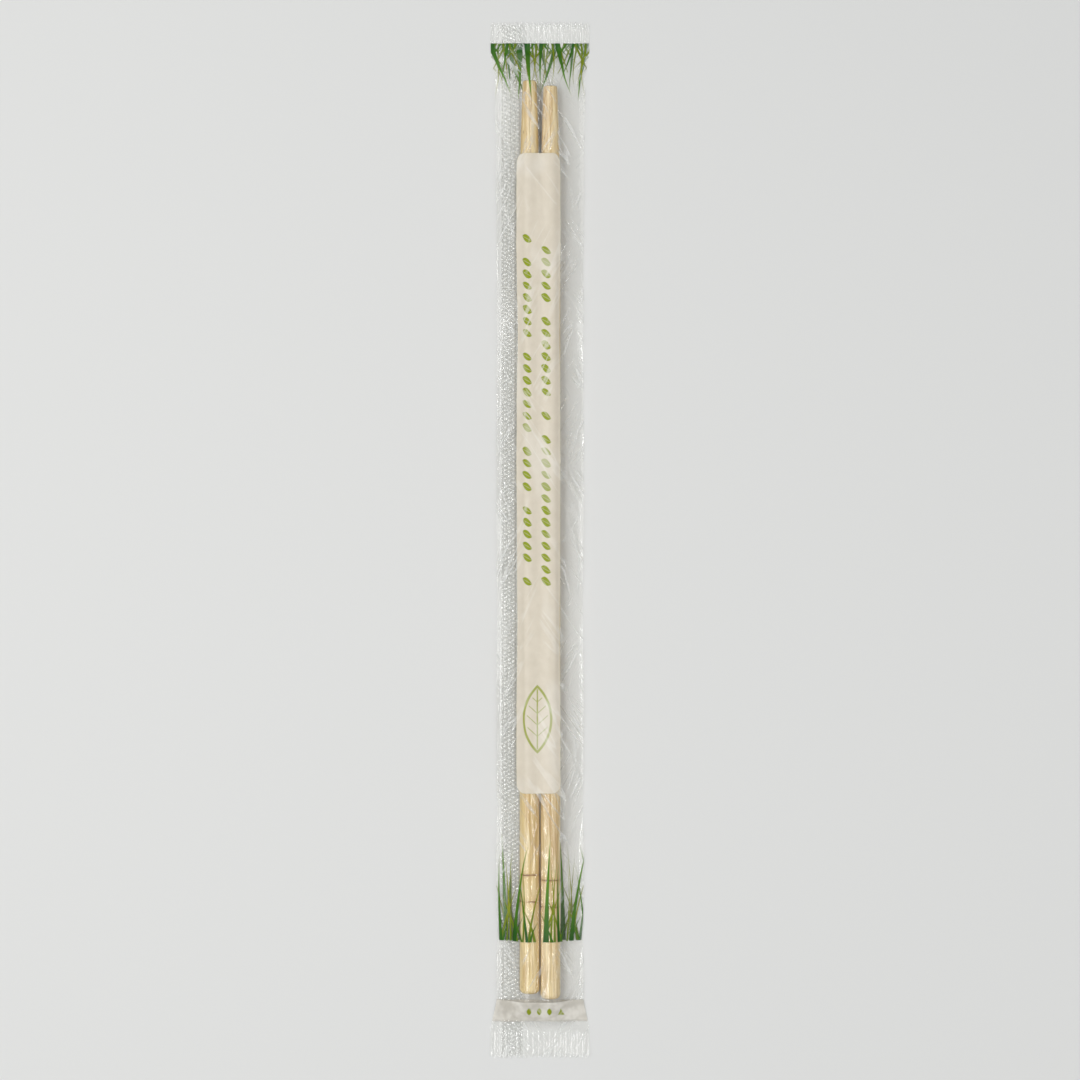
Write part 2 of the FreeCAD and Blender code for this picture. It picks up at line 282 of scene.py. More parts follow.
class Sheet:
    """The node sheet of a material or of the sky."""

    def __init__(self, owner):
        self.owner = owner
        owner.use_nodes = True
        self.tree = owner.node_tree
        self.tree.nodes.clear()

    def add(self, kind, settings=None, inputs=None, output=0):
        """A node with its settings, then the values or links of its sockets."""
        node = self.tree.nodes.new(kind)
        for name, setting in (settings or {}).items():
            setattr(node, name, setting)
        for name, value in (inputs or {}).items():
            if isinstance(value, Value):
                self.tree.links.new(value.socket, node.inputs[name])
            else:
                node.inputs[name].default_value = value
        return Value(self, node.outputs[output]) if node.outputs else None

    def place(self, shift=(0, 0, 0)):
        """The object's own coordinates, moved."""
        spot = self.add("ShaderNodeTexCoord", output="Object")
        return self.add("ShaderNodeMapping", None, {"Vector": spot, "Location": shift})

    def parts(self, vector):
        """The three numbers of a vector."""
        first = self.add("ShaderNodeSeparateXYZ", None, {0: vector})
        return [Value(self, socket) for socket in first.socket.node.outputs]

    def noise(self, vector, waves, detail=2, roughness=0.5):
        """Noise with a number of waves to the metre."""
        inputs = {"Vector": vector, "Scale": waves, "Detail": detail, "Roughness": roughness}
        return self.add("ShaderNodeTexNoise", None, inputs)

    def long_noise(self, vector, waves, drawn_out, detail=2, roughness=0.5):
        """Noise that is drawn out along the sticks by a factor."""
        scale = (1, 1 / drawn_out, 1)
        settings = {"operation": "MULTIPLY"}
        stretched = self.add("ShaderNodeVectorMath", settings, {0: vector, 1: scale})
        return self.noise(stretched, waves, detail, roughness)

    def mixed(self, share, first, second):
        """A colour between two others."""
        inputs = {0: share, 6: first, 7: second}
        return self.add("ShaderNodeMix", {"data_type": "RGBA"}, inputs, 2)

    def bump(self, height, distance, strength):
        inputs = {"Height": height, "Distance": distance, "Strength": strength}
        return self.add("ShaderNodeBump", None, inputs)

    def background_share(self):
        """1 where the eye, or a shiny or clear face, sees it, and 0 where it gives light."""
        rays = ("Is Camera Ray", "Is Glossy Ray", "Is Transmission Ray")
        return largest([self.add("ShaderNodeLightPath", output=ray) for ray in rays])

    def finish(self, surface, output="ShaderNodeOutputMaterial"):
        self.add(output, None, {"Surface": surface})
        return self.owner


def bamboo(name, axis, thick_end, straw, cream, tan):
    """Sanded bamboo: long fibres, tan bundles, burnt rings and end grain."""
    sheet = Sheet(bpy.data.materials.new(name))
    spot = sheet.place((-axis[0], -thick_end, -axis[1]))
    along = sheet.parts(spot)[1]

    bands = sheet.long_noise(spot, 850, 150, 3, 0.6)
    fibres = sheet.long_noise(spot, 3600, 60)
    bundles = sheet.long_noise(spot, 3000, 28, 1)
    patches = sheet.long_noise(spot, 330, 12)
    specks = sheet.long_noise(spot, 2300, 3, 0)
    pores = sheet.long_noise(spot, 2600, 50, 1).ramp(0.55, 0.7)

    skin = sheet.mixed(bands.ramp(0.38, 0.62), colour(*straw), colour(*cream))
    skin = sheet.mixed(patches.ramp(0.48, 0.7) * 0.55, skin, colour(*tan))
    skin = sheet.mixed(fibres.ramp(0.46, 0.66) * 0.7, skin, colour(*tan))
    skin = sheet.mixed(bundles.ramp(0.57, 0.71) * 0.72, skin, colour(*BUNDLE_TONE))
    pale = (1 - bundles.ramp(0.3, 0.44)) * 0.6
    skin = sheet.mixed(pale, skin, colour(*PALE_FIBRE_TONE))
    skin = sheet.mixed(specks.ramp(0.8, 0.86) * 0.6, skin, colour(*SPECK_TONE))

    wobble = (sheet.noise(spot, 700, 1) - 0.5) * (0.35 * MM)
    uneven = sheet.noise(spot, 380, 1).ramp(0.36, 0.66)
    for place in RING_PLACES:
        off = abs(along + wobble - place)
        stain = (1 - off.ramp(0.2 * MM, 1.7 * MM)) * 0.3
        burn = (1 - off.ramp(0.12 * MM, 0.34 * MM)) * (uneven * 0.72 + 0.2)
        skin = sheet.mixed(stain, skin, colour(*STAIN_TONE))
        skin = sheet.mixed(burn, skin, colour(*BURN_TONE))

    past_thick_end = along.ramp(0.25 * MM, 0.6 * MM)
    short_of_tip = 1 - along.ramp(STICK_LENGTH - 0.25 * MM, STICK_LENGTH - 0.1 * MM)
    end_grain = 1 - past_thick_end * short_of_tip
    skin = sheet.mixed(end_grain * (pores * 0.55 + 0.1), skin, colour(*PORE_TONE))

    inputs = {
        "Base Color": skin,
        "Roughness": fibres * 0.18 + 0.42,
        "Normal": sheet.bump(fibres * 0.6 + bundles * 0.4, 0.05 * MM, 0.5),
    }
    return sheet.finish(sheet.add("ShaderNodeBsdfPrincipled", None, inputs))


def inked(inside):
    """Full ink at a distance in millimetres inside an edge, and none outside it."""
    return (inside * INK_SHARPNESS + 0.5).smaller(1).larger(0)


def lens(along, across, half_length, half_width):
    """1 inside a pointed oval and 0 outside it, all in millimetres from its middle."""
    share = along / half_length
    return inked((1 - share * share) * half_width - abs(across))


def grass(across, rise, blades, span):
    """Where a row of pointed blades is printed, which repeats across the film."""
    folded = (across / MM).wrapped(span)
    covers = []
    for foot, height, width, lean, bend in blades:
        share = rise / (height * MM)
        centre = (share * bend + lean) * share * height + foot
        covers.append(inked((1 - share) * (width / 2) - abs(folded - centre)))
    return largest(covers) * (rise + EDGE_BLUR).ramp(0, 2 * EDGE_BLUR)


def rounded_box(across, along, middle, width, ends, corner):
    """1 inside a box with rounded corners and 0 outside it."""
    half_length = (ends[1] - ends[0]) / 2
    aside = (abs(across - middle) - (width / 2 - corner)).larger(0)
    beyond = (abs(along - (ends[0] + half_length)) - (half_length - corner)).larger(0)
    off = (aside * aside + beyond * beyond) ** 0.5
    return 1 - off.ramp(corner - EDGE_BLUR, corner + EDGE_BLUR)


def line_of_leaves(sheet, across, along, middle, ends, seed):
    """A lengthwise line of small slanted leaves, in uneven groups."""
    pitch, half_length, half_width = 3.1, 1.35, 1.12
    steps = along / (pitch * MM) + 100
    cell = steps.floor()
    spot = sheet.add("ShaderNodeCombineXYZ", None, {0: cell, 1: seed})
    chance = sheet.add("ShaderNodeTexWhiteNoise", None, {"Vector": spot})
    aside = (across - middle) / MM
    slant = (cell.wrapped(2).above(0.5) - 0.5) * 1.1
    run = (steps - cell - 0.5) * pitch + aside * slant
    shape = lens(aside, run / (chance * 0.25 + 0.75), half_length, half_width)
    midrib = abs(run).ramp(0.02, 0.1) * 0.6 + 0.4
    within = along.above(ends[0]) * (1 - along.above(ends[1]))
    return shape * within * chance.above(0.13) * midrib


def large_leaf(across, along, middle, height):
    """The outline of a plain leaf with its midrib and veins, where two circles overlap."""
    half_length, half_width, line = 9 * MM, 4 * MM, 0.3 * MM
    radius = (half_length**2 + half_width**2) / (2 * half_width)
    aside = abs(across - middle)
    rise = along - height
    wide = aside + (radius - half_width)
    edge = (wide * wide + rise * rise) ** 0.5 - radius
    outline = 1 - abs(edge + line).ramp(line * 0.8, line * 1.3)
    midrib_end = 1 - abs(rise).ramp(half_length * 0.85, half_length * 0.9)
    midrib = (1 - aside.ramp(0.12 * MM, 0.24 * MM)) * midrib_end
    veins = 1 - abs(((rise - aside * 0.9) / MM).wrapped(3) - 1.5).ramp(0.1, 0.22)
    inner = (0 - edge).ramp(1.1 * MM, 1.2 * MM)
    return largest([outline, midrib, veins * inner * 0.8])


def triangle(across, along, middle, height):
    """A small solid triangle that shows where the sleeve is torn open."""
    half, blur = 0.95 * MM, 0.08 * MM
    rise = along - height
    side = (half - rise) / 2 - abs(across - middle)
    return side.ramp(0, blur) * (rise + half).ramp(0, blur)


def grass_print(sheet, across, along):
    """Grass at both ends, with its feet towards the seals: its cover and its colour."""
    tip_side = along.above(0)
    low_rise = (along - GRASS_FOOT) * (1 - tip_side)
    rise = low_rise + (TIP_GRASS_FOOT - along) * TIP_GRASS_SHORTER * tip_side
    shade = sheet.long_noise(sheet.place(), 900, 5, 1)
    share = (rise / GRASS_HEIGHT + shade * 0.5 - 0.2).smaller(1).larger(0)
    covers, tint = [], None
    for blades, span, low_tone, high_tone in GRASS_ROWS:
        cover = grass(across + tip_side * TIP_GRASS_SHIFT, rise, blades, span)
        cover = cover * rise.above(-0.1 * MM)
        green = sheet.mixed(share, colour(*low_tone), colour(*high_tone))
        tint = sheet.mixed(cover, tint, green) if covers else green
        covers.append(cover)
    return largest(covers) * 0.985, tint


def frosted_band(sheet, along, tint):
    """A cloudy white band beside the thick end's seal: its cover, and the colour with it."""
    edge = 0.12 * MM
    waver = (sheet.noise(sheet.place(), 160, 1) - 0.5) * (0.5 * MM)
    start = (along + waver).ramp(BAND_ENDS[0] - 4 * edge, BAND_ENDS[0] + 4 * edge)
    band = start * (1 - (along + waver).ramp(BAND_ENDS[1] - edge, BAND_ENDS[1]))
    cloud = sheet.noise(sheet.place(), 260, 2, 0.6).ramp(0.3, 0.7)
    frost = sheet.mixed(cloud, *[colour(*tone) for tone in FROST_TONES])
    return band * (cloud * 0.18 + 0.7), sheet.mixed(band.ramp(0, 0.03), tint, frost)


def panel_print(sheet, across, along, tint, crease_lines_and_painted_glare):
    """The white panel, the leaves on it and on the band: its cover, and the colour with it,
    whitened by painted glare in patches, and along crease lines by lifted ink and painted
    highlight.
    """
    panel = rounded_box(across, along, PANEL_MIDDLE, PANEL_WIDTH, PANEL_ENDS, PANEL_CORNER)
    shapes = [line_of_leaves(sheet, across, along, *line) for line in LEAF_LINES]
    for aside in BAND_LEAVES:
        shapes.append(lens((along - BAND_MIDDLE) / MM, (across - aside) / MM, 1.05, 0.62))
    shapes.append(triangle(across, along, BAND_TRIANGLE, BAND_MIDDLE))
    leaves = largest(shapes)
    outline = large_leaf(across, along, *LARGE_LEAF)
    mottle = sheet.noise(sheet.place(), 500)
    white = sheet.mixed(mottle, *[colour(*tone) for tone in PANEL_TONES])
    tint = sheet.mixed(panel, tint, white)
    # Painted glare: the leaves fade and the panel whitens in glare patches, and along crease
    # lines, partly lifted ink and partly painted highlight
    tint = sheet.mixed(leaves * (1 - crease_lines_and_painted_glare * 0.6), tint, colour(*LEAF_TONE))
    tint = sheet.mixed(outline * 0.85, tint, colour(*OUTLINE_TONE))
    tint = sheet.mixed(crease_lines_and_painted_glare * panel * 0.4, tint, colour(*GLARE_TONE))
    return (panel * 0.93).larger(leaves * 0.95), tint


def wrinkles(sheet):
    """Hair-thin slanted lines in patches, where the film has been creased."""
    spot = sheet.place()
    patch = sheet.long_noise(spot, 105, 2, 1)
    slants = (
        (34, 0, patch.ramp(0.5, 0.6)),
        (-27, 90 * MM, (1 - patch).ramp(0.5, 0.6)),
    )
    lines = []
    for degrees, shift, reach in slants:
        inputs = {
            "Vector": spot,
            "Location": (shift, shift, 0),
            "Rotation": (0, 0, math.radians(degrees)),
            "Scale": (1, 16, 3),
        }
        turned = sheet.add("ShaderNodeMapping", {"vector_type": "TEXTURE"}, inputs)
        level = sheet.noise(turned, 330, 2, 0.4)
        lines.append((1 - abs(level - 0.5).ramp(0.004, 0.034)) * reach)
    return largest(lines)


def clear_film(name, on_web, shine, haze, waviness):
    """Clear glossy film, mirror-like at a slant, with its print, and whitened where it creases,
    partly as painted highlight.

    on_web is true for the web, which has the panel and wrinkles, and false for the fin.
    """
    sheet = Sheet(bpy.data.materials.new(name))
    weave = sheet.add("ShaderNodeUVMap", {"uv_map": "UVMap"})
    column = sheet.parts(weave)[0]
    along = sheet.parts(sheet.place())[1]
    whitening_and_painted_glint = sheet.add("ShaderNodeAttribute", {"attribute_name": "whitening_and_painted_glint"}, output="Fac")
    if on_web:
        across = (column - (ROOT_COLUMN + FRONT_COLUMNS / 2) / COLUMNS) * WEB_WIDTH
        lines = wrinkles(sheet)
    else:
        across = column * (FIN_EDGES[1] - FIN_EDGES[0]) - FIN_PRINT_SHIFT
        lines = 0

    cover, tint = grass_print(sheet, across, along)
    band, tint = frosted_band(sheet, along, tint)
    cover = cover.larger(band)
    if on_web:
        # Painted glare: broad patches where the print is whitened as if a lamp's reflection
        # veiled it; the crease lines add to it
        glare = sheet.long_noise(sheet.place(), 130, 2, 1).ramp(0.58, 0.72)
        crease_lines_and_painted_glare = (lines * 0.6 + glare * 0.5).smaller(1)
        panel, tint = panel_print(sheet, across, along, tint, crease_lines_and_painted_glare)
        cover = cover.larger(panel)

    calm = sheet.long_noise(sheet.place(), 110, 2.5, 1).ramp(0.42, 0.66)
    ripple = sheet.long_noise(sheet.place(), 900, 20 / 7, 2, 0.6) * (calm * 0.75 + 0.25)
    normal = sheet.bump(ripple * waviness + lines * 0.5, 0.09 * MM, 0.6)
    inputs = {"Blend": 0.5, "Normal": normal}
    facing = sheet.add("ShaderNodeLayerWeight", None, inputs, "Facing")
    reflect = facing**5 * (1 - shine) + shine

    clear = sheet.add("ShaderNodeBsdfTransparent", None, {"Color": (0.985, 0.985, 0.98, 1)})
    inputs = {"Base Color": (1, 1, 1, 1), "Metallic": 1, "Roughness": 0.08, "Normal": normal}
    mirror = sheet.add("ShaderNodeBsdfPrincipled", None, inputs)
    skin = sheet.add("ShaderNodeMixShader", None, {0: reflect, 1: clear, 2: mirror})

    # Painted white: the film's own whitening at creases and seals and its even haze, with painted
    # highlight on crests and edges and painted glints on the fin's knobs
    milky_and_painted_glint = (whitening_and_painted_glint * 0.3 + lines * 0.3 + haze).smaller(0.85)
    inputs = {
        "Base Color": sheet.mixed(cover.ramp(0.02, 0.1), colour(*MILKY_AND_GLINT_TONE), tint),
        "Roughness": 0.34,
        "Specular IOR Level": 0.2,
        "Normal": normal,
    }
    ink = sheet.add("ShaderNodeBsdfPrincipled", None, inputs)
    inputs = {0: cover.larger(milky_and_painted_glint), 1: skin, 2: ink}
    return sheet.finish(sheet.add("ShaderNodeMixShader", None, inputs))


def edit(piece):
    """Opens one piece for editing, with nothing else selected."""
    bpy.ops.object.select_all(action="DESELECT")
    piece.select_set(True)
    bpy.context.view_layer.objects.active = piece
    bpy.ops.object.mode_set(mode="EDIT")


def close_edit(degrees):
    """Leaves editing with the place in the mesh and faces smooth up to an angle."""
    bpy.ops.object.mode_set(mode="OBJECT")
    bpy.ops.object.transform_apply(location=True, rotation=True, scale=True)
    bpy.ops.object.shade_smooth_by_angle(angle=math.radians(degrees))


def new_grid(name, columns, rows):
    """A flat grid of one unit, with the place, column and row of each of its points."""
    bpy.ops.object.select_all(action="DESELECT")
    bpy.ops.mesh.primitive_grid_add(x_subdivisions=columns, y_subdivisions=rows, size=1)
    grid = bpy.context.object
    grid.name = name
    place = np.zeros(len(grid.data.vertices) * 3)
    grid.data.vertices.foreach_get("co", place)
    place = place.reshape(-1, 3)
    column = np.rint((place[:, 0] + 0.5) * columns).astype(int)
    row = np.rint((place[:, 1] + 0.5) * rows).astype(int)
    return grid, place, column, row


def shape_grid(grid, place, marks):
    """Moves a grid's points to their places and marks how sharply each is creased, which is
    painted white: partly crease whitening and partly painted highlight on the web, and painted
    glints on the fin's knobs.
    """
    grid.data.vertices.foreach_set("co", place.ravel())
    grid.data.attributes.new("whitening_and_painted_glint", "FLOAT", "POINT").data.foreach_set("value", marks)


def taper_radius(along):
    """The stick's radius at a distance from its thick end, without the rounded ends."""
    drop = STICK_RADIUS - TIP_RADIUS
    bow = (TAPER_LENGTH**2 + drop**2) / (2 * drop)
    run = max(0.0, along - TAPER_START)
    return STICK_RADIUS - bow + math.sqrt(bow**2 - run**2)


def quarter_turns(steps):
    """Angles from 0 to a right angle, the first left out."""
    return [math.radians(90 * step / steps) for step in range(1, steps + 1)]


def stick_stations():
    """(distance from the thick end, radius) of each ring of the turned stick."""
    flat = STICK_RADIUS - END_ROUNDING
    dome = END_CROWN * (flat / STICK_RADIUS) ** 2
    stations = [(dome * share**2, flat * share) for share in (0.12, 0.45, 0.75)]
    for turn in [0, *quarter_turns(8)]:
        along = dome + END_ROUNDING * (1 - math.cos(turn))
        stations.append((along, flat + END_ROUNDING * math.sin(turn)))
    for place in RING_PLACES:
        for off, depth in RING_SECTION:
            along = place + RING_WIDTH / 2 * off
            stations.append((along, STICK_RADIUS - RING_DEPTH * depth))
    shaft_start, shaft_steps, taper_steps = 40 * MM, 24, 16
    for step in range(1, shaft_steps + 1):
        along = shaft_start + step / shaft_steps * (TAPER_START - shaft_start)
        stations.append((along, STICK_RADIUS * random.uniform(0.996, 1)))
    for step in range(1, taper_steps + 1):
        along = TAPER_START + step / taper_steps * (TAPER_LENGTH - TIP_ROUNDING)
        stations.append((along, taper_radius(along)))
    for turn in quarter_turns(5):
        along = STICK_LENGTH - TIP_ROUNDING * (1 - math.sin(turn))
        stations.append((along, TIP_RADIUS - TIP_ROUNDING * (1 - math.cos(turn))))
    stations.append((STICK_LENGTH, TIP_RADIUS / 2))
    return stations


def chopstick(name, node, tones):
    """A turned stick, drawn out ring by ring from its thick end."""
    low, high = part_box(node)
    axis_x, axis_z = (low.x + high.x) / 2, (low.z + high.z) / 2
    thick_end = (low.y + high.y) / 2 - STICK_LENGTH / 2
    stations = stick_stations()
    start, start_radius = stations[0]
    bpy.ops.object.select_all(action="DESELECT")
    bpy.ops.mesh.primitive_circle_add(
        vertices=STICK_SIDES,
        radius=start_radius,
        fill_type="NGON",
        location=(axis_x, thick_end + start, axis_z),
        rotation=(-math.pi / 2, 0, 0),
    )
    stick = bpy.context.object
    stick.name = name
    edit(stick)
    for (here, radius), (there, next_radius) in zip(stations, stations[1:]):
        step = {"value": (0, there - here, 0)}
        bpy.ops.mesh.extrude_region_move(TRANSFORM_OT_translate=step)
        grow = next_radius / radius
        middle = (axis_x, thick_end + there, axis_z)
        bpy.ops.transform.resize(value=(grow, 1, grow), center_override=middle)
    bpy.ops.mesh.select_all(action="SELECT")
    bpy.ops.mesh.normals_make_consistent(inside=False)
    close_edit(35)
    finish = bamboo(name + "_bamboo", (axis_x, axis_z), thick_end, *tones)
    stick.data.materials.append(finish)
    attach(stick, "root")
    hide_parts(node)


def measures():
    """Where the solids put the pair, and the folds and ends of the sleeve."""
    sleeve_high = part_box("film_sleeve")[1]
    left_low, left_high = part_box("chopstick_left")
    right_low, right_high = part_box("chopstick_right")
    return SimpleNamespace(
        aside=(right_low.x + right_high.x) / 2,
        height=(left_low.z + left_high.z) / 2,
        tip_end=left_high.y,
        thick_end=right_low.y,
        flat_half=sleeve_high.x,
        sleeve_end=sleeve_high.y,
        tube_end=sleeve_high.y - SEAL_LENGTH,
    )


def eased(share):
    """0 to 1 with a gentle start and end."""
    share = np.clip(share, 0, 1)
    return share * share * (3 - 2 * share)


def slack(places, mean, swing, period, seed):
    """A measure that wavers slowly about its mean along the sleeve, from millimetres."""
    dice = np.random.default_rng(seed)
    waves = np.zeros_like(places)
    for share in (1, 0.61, 0.37):
        start = dice.uniform(0, 2 * np.pi)
        waves += share * np.sin(2 * np.pi * places / (period * MM * share) + start)
    return mean * MM + swing * MM * (waves / 2)


def section(half_width, aside, height, radius, sag, dip, lift):
    """The film over the pair at one place: points from the left fold to the right one."""
    points = []
    fold = np.array([half_width, lift])
    reach = fold - np.array([aside, height])
    distance = np.hypot(*reach)
    touch = math.atan2(reach[1], reach[0]) + math.acos(min(1, radius / distance))
    contact = np.array([aside + radius * math.cos(touch), height + radius * math.sin(touch)])
    slope = contact - fold
    outward = np.array([-slope[1], slope[0]]) / np.hypot(*slope)
    outward = outward if outward[1] > 0 else -outward
    for share in np.linspace(0, 1, SLOPE_POINTS, endpoint=False):
        points.append(fold + slope * share - outward * sag * 4 * share * (1 - share))
    for turn in np.linspace(touch, math.pi / 2, ARC_POINTS):
        across, rise = radius * math.cos(turn), radius * math.sin(turn)
        points.append(np.array([aside + across, height + rise]))
    for share in np.linspace(1, 0, BRIDGE_POINTS + 1)[1:]:
        level = height + radius - dip * (1 - share * share) ** 2
        points.append(np.array([aside * share, level]))
    right = np.array(points)
    return np.vstack([right * (-1, 1), right[::-1][1:]])


def spread(points, count):
    """The outline's points spaced evenly along it, and its length."""
    run = np.concatenate([[0], np.cumsum(np.hypot(*np.diff(points, axis=0).T))])
    places = np.linspace(0, run[-1], count + 1)
    evenly = [np.interp(places, run, points[:, axis]) for axis in (0, 1)]
    return np.column_stack(evenly), run[-1]


def web_rows(fit):
    """Places along the sleeve of the web's rows, which are closer together in the seals."""
    return np.concatenate([
        np.linspace(-fit.sleeve_end, -fit.tube_end, SEAL_ROWS, endpoint=False),
        np.linspace(-fit.tube_end, fit.tube_end, TUBE_ROWS + 1),
        np.linspace(fit.tube_end, fit.sleeve_end, SEAL_ROWS + 1)[1:],
    ])


def draped(rows, fit):
    """The film's front and back round the pair: across and height at each row and column."""
    front = np.zeros((len(rows), FRONT_COLUMNS + 1, 2))
    back = np.zeros_like(front)
    sags, dips, lifts = (slack(rows, *kind) for kind in (SAG, DIP, FOLD_LIFT))
    fractions = np.linspace(-1, 1, FRONT_COLUMNS + 1)
    heights = np.full_like(fractions, FLOOR_GAP + LAYER_GAP)
    level = np.column_stack([fractions * fit.flat_half, heights])
    for index, along in enumerate(rows):
        inner = min(max(along, fit.thick_end - NOSE_SPACE), fit.tip_end + NOSE_SPACE)
        radius = taper_radius(min(inner - fit.thick_end, STICK_LENGTH)) + FILM_GAP
        # The film flattens from the sticks' ends, where settled is 0, to the seals, where it is 1
        settled = (abs(along) - abs(inner)) / (fit.tube_end - abs(inner))
        settled = min(max(settled, 0.0), 1.0)
        loose = sags[index], dips[index], lifts[index]
        half = fit.flat_half * FIRST_HALF_WIDTH
        for _ in range(FIT_ROUNDS):
            form = section(half, fit.aside, fit.height, radius, *loose)
            outline, length = spread(form, FRONT_COLUMNS)
            half = min(half + (2 * fit.flat_half - length) / 2, fit.flat_half)
        front[index] = outline * (1 - settled) + level * settled
        width = half * (1 - settled) + fit.flat_half * settled
        edge_lift = (lifts[index] - FLOOR_GAP) * (1 - settled)
        back[index, :, 0] = -fractions * width
        from_fold = width - np.abs(back[index, :, 0])
        back[index, :, 1] = FLOOR_GAP + edge_lift * np.exp(-from_fold / (1.2 * MM))
    return front, back


def scattered_creases(dice, across, along):
    """The rise and the sharpness of creases scattered over the front; the sharpness is painted
    white, partly as painted highlight.
    """
    rise, mark = np.zeros_like(across), np.zeros_like(across)
    for count, slants, lengths, widths, heights in CREASE_KINDS:
        for _ in range(count):
            slant = math.radians(dice.uniform(*slants)) * dice.choice((-1, 1))
            length = dice.uniform(*lengths) * MM
            width = dice.uniform(*widths) * MM
            height = dice.uniform(*heights) * MM * dice.choice((-0.5, 1, 1))
            run = along - dice.uniform(-132, 132) * MM
            side = across - dice.uniform(-14, 14) * MM
            forward = run * math.cos(slant) + side * math.sin(slant)
            aside = side * math.cos(slant) - run * math.sin(slant)
            fade = np.clip(1 - (forward / length * 2) ** 2, 0, 1)
            shape = np.exp(-np.abs(aside) / width) * fade
            rise += height * shape
            # Half the creases are painted white along their crests: partly the film's own
            # whitening, partly painted highlight
            if dice.uniform() < 0.5:
                mark += dice.uniform(0.3, 1.2) * shape**3
    return rise, mark


def end_pleats(dice, across, along, fit):
    """The rise and the sharpness of pleats that fan out from the sticks' ends to the seals; the
    sharpness is painted white, partly as painted highlight.
    """
    rise, mark = np.zeros_like(across), np.zeros_like(across)
    starts = (fit.thick_end - NOSE_SPACE, fit.tip_end + NOSE_SPACE)
    for start, end in zip(starts, (-fit.tube_end, fit.tube_end)):
        share = (np.abs(along) - abs(start)) / (abs(end) - abs(start))
        for foot in np.linspace(-PLEAT_FAN, PLEAT_FAN, END_PLEATS):
            foot = (foot + dice.uniform(-0.6, 0.6)) * MM
            head = np.clip(foot * 0.35, -PLEAT_START, PLEAT_START)
            centre = head + (foot - head) * share
            near = np.exp(-np.abs(across - centre) / PLEAT_WIDTH)
            near = near * eased(share * 2) * eased((1.3 - share) * 2)
            near = near * (np.sign(along) == np.sign(end))
            rise += dice.uniform(0.25, 0.7) * MM * near
            # The pleat's crest is painted white: partly the film's own whitening, partly painted
            # highlight
            mark += dice.uniform(0.3, 1.0) * near**2
    return rise, mark


def crumple(front, across, along, fit):
    """Stands the creases off the front, and tells how sharply each point is creased, which is
    later painted white, partly as painted highlight.
    """
    dice = np.random.default_rng(11)
    rise, mark = scattered_creases(dice, across, along)
    pleat_rise, pleat_mark = end_pleats(dice, across, along, fit)
    tangent = np.gradient(front, axis=1)
    outward = np.stack([-tangent[..., 1], tangent[..., 0]], axis=-1)
    outward /= np.linalg.norm(outward, axis=-1, keepdims=True)
    over_stick = np.exp(-((np.abs(front[..., 0]) - fit.aside) / STICK_HOLD_WIDTH) ** 2)
    off_folds = eased((fit.flat_half - np.abs(across)) / FOLD_MARGIN)
    off_seals = eased((fit.tube_end - np.abs(along)) / SEAL_MARGIN)
    freedom = (1 - STICK_HOLD * over_stick) * off_folds * off_seals
    front += outward * ((rise + pleat_rise) * freedom)[..., None]
    return (mark + pleat_mark) * off_folds * off_seals


def clear_sticks(front, rows, fit):
    """Keeps the front outside both sticks and above the floor."""
    from_thick_end = np.clip(rows - fit.thick_end, 0, STICK_LENGTH)
    needed = np.array([taper_radius(along) for along in from_thick_end]) + LEAST_FILM_GAP
    beside = (rows > fit.thick_end - 0.3 * MM) & (rows < fit.tip_end + 0.3 * MM)
    for centre in (-fit.aside, fit.aside):
        off = front - np.array([centre, fit.height])
        distance = np.linalg.norm(off, axis=-1)
        push = np.clip(needed[:, None] - distance, 0, None) * beside[:, None]
        front += off / distance[..., None] * push[..., None]
    front[..., 1] = np.maximum(front[..., 1], FLOOR_GAP)


def over_fin(across):
    """How far the back stands up over the fin that lies under it."""
    space = 0.5 * MM
    inside = np.minimum(across - (FIN_EDGES[0] - space), FIN_EDGES[1] + space - across)
    return FIN_LIFT * eased(inside / space)


def weld(front, back, across, along, seal_share, last_row, rib, fit):
    """Presses front and back together in the seals, ribs them, and joins the folds."""
    back[..., 1] += over_fin(back[..., 0]) + RIB_HEIGHT * rib * seal_share
    under = back[:, ::-1, 1]
    pressed = np.where(last_row, under, under + LAYER_GAP)
    front[..., 1] = front[..., 1] * (1 - seal_share) + pressed * seal_share
    seal_run = ((np.abs(along) - fit.tube_end) / SEAL_LENGTH).clip(0, 1)
    uneven = 0.6 + 0.4 * np.sin(across / (5 * MM) + np.sign(along))
    curl = SEAL_CURL * seal_run**2 * uneven
    front[..., 1] += curl
    back[..., 1] += curl[:, ::-1]
    front[:, 0], front[:, -1] = back[:, -1], back[:, 0]


